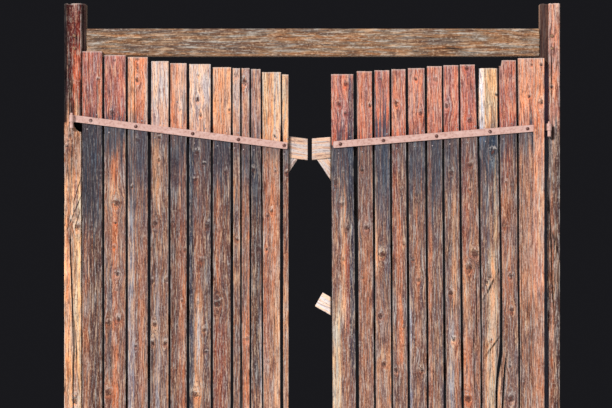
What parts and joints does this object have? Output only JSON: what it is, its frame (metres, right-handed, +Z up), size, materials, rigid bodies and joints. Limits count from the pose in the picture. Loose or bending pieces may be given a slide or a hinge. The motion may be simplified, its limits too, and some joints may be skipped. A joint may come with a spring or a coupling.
{
  "type": "barn door",
  "caption": "Double-leaf barn door of old upright boards on ledges and braces, sagged on iron strap hinges, in a timber frame.",
  "frame": {"origin": "on the ground, at the middle of the frame's width and of the whole depth", "axes": "+X to the right as seen from outside, +Y into the barn, +Z up"},
  "size_m": [3.2014, 0.1536, 3.26],
  "materials": {
    "weathered_boards": "bare softwood boards, sun-browned above the straps and stained grey below them, with raised grain",
    "ledge_timber": "bare sawn softwood, grey-brown under cover and bleached pale at the free ends",
    "frame_timber": "bare weathered timber with drying cracks",
    "peg_wood": "bare weathered hardwood",
    "hinge_iron": "light dry rust over wrought iron",
    "bolt_iron": "dry rust"
  },
  "bodies": {
    "frame": {"left_post": "frame_timber", "right_post": "frame_timber", "lintel": "frame_timber", "left_pegs": "peg_wood", "right_pegs": "peg_wood", "left_upper_pintle": "hinge_iron", "left_lower_pintle": "hinge_iron", "right_upper_pintle": "hinge_iron", "right_lower_pintle": "hinge_iron"},
    "left_leaf": {"left_board_01": "weathered_boards", "left_board_02": "weathered_boards", "left_board_03": "weathered_boards", "left_board_04": "weathered_boards", "left_board_05": "weathered_boards", "left_board_06": "weathered_boards", "left_board_07": "weathered_boards", "left_board_08": "weathered_boards", "left_board_09": "weathered_boards", "left_board_10": "weathered_boards", "left_board_11": "weathered_boards", "left_board_12": "weathered_boards", "left_brace": "ledge_timber", "left_upper_ledge": "ledge_timber", "left_upper_strap": "hinge_iron", "left_upper_bolts": "bolt_iron", "left_upper_washers": "bolt_iron", "left_upper_nuts": "bolt_iron", "left_lower_ledge": "ledge_timber", "left_lower_strap": "hinge_iron", "left_lower_bolts": "bolt_iron", "left_lower_washers": "bolt_iron", "left_lower_nuts": "bolt_iron"},
    "right_leaf": {"right_board_01": "weathered_boards", "right_board_02": "weathered_boards", "right_board_03": "weathered_boards", "right_board_04": "weathered_boards", "right_board_05": "weathered_boards", "right_board_06": "weathered_boards", "right_board_07": "weathered_boards", "right_board_08": "weathered_boards", "right_board_09": "weathered_boards", "right_board_10": "weathered_boards", "right_board_11": "weathered_boards", "right_brace": "ledge_timber", "right_upper_ledge": "ledge_timber", "right_upper_strap": "hinge_iron", "right_upper_bolts": "bolt_iron", "right_upper_washers": "bolt_iron", "right_upper_nuts": "bolt_iron", "right_lower_ledge": "ledge_timber", "right_lower_strap": "hinge_iron", "right_lower_bolts": "bolt_iron", "right_lower_washers": "bolt_iron", "right_lower_nuts": "bolt_iron", "right_cover_strip": "weathered_boards", "right_lower_brace": "ledge_timber"}
  },
  "joints": [
    {"name": "left_leaf_swing", "type": "hinge", "parent": "frame", "child": "left_leaf", "pos_m": [-1.54925, -0.062, 1.5], "axis": [0, 0, -1], "range_deg": [0, 170]},
    {"name": "right_leaf_swing", "type": "hinge", "parent": "frame", "child": "right_leaf", "pos_m": [1.52875, -0.062, 1.5], "axis": [0, 0, 1], "range_deg": [0, 170]}
  ]
}
